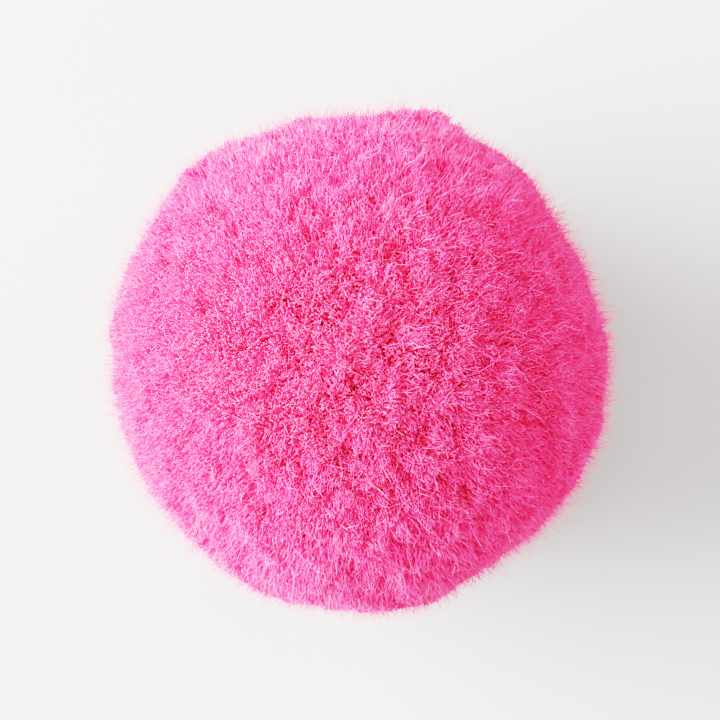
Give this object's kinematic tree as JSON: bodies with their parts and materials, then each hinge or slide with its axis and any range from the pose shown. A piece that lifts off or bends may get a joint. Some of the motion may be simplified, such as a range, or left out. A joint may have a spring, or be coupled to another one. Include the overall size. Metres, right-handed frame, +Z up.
{
  "type": "craft pom pom",
  "caption": "Small fuzzy craft ball of cut yarn: short locks spread from one heart and are trimmed round, with a small flat spot underneath.",
  "frame": {"origin": "on the surface that the ball rests on, under the middle of the ball", "axes": "+Z up, away from the small flat spot underneath; the one long tuft of the trim points along +Y, a little towards +X"},
  "size_m": [0.0249, 0.0253, 0.0241],
  "materials": {
    "pink_yarn": "cut pile of fine acrylic fibre, matt and velvety, hot pink"
  },
  "bodies": {
    "root": {"pom_pom": "pink_yarn"}
  },
  "joints": []
}
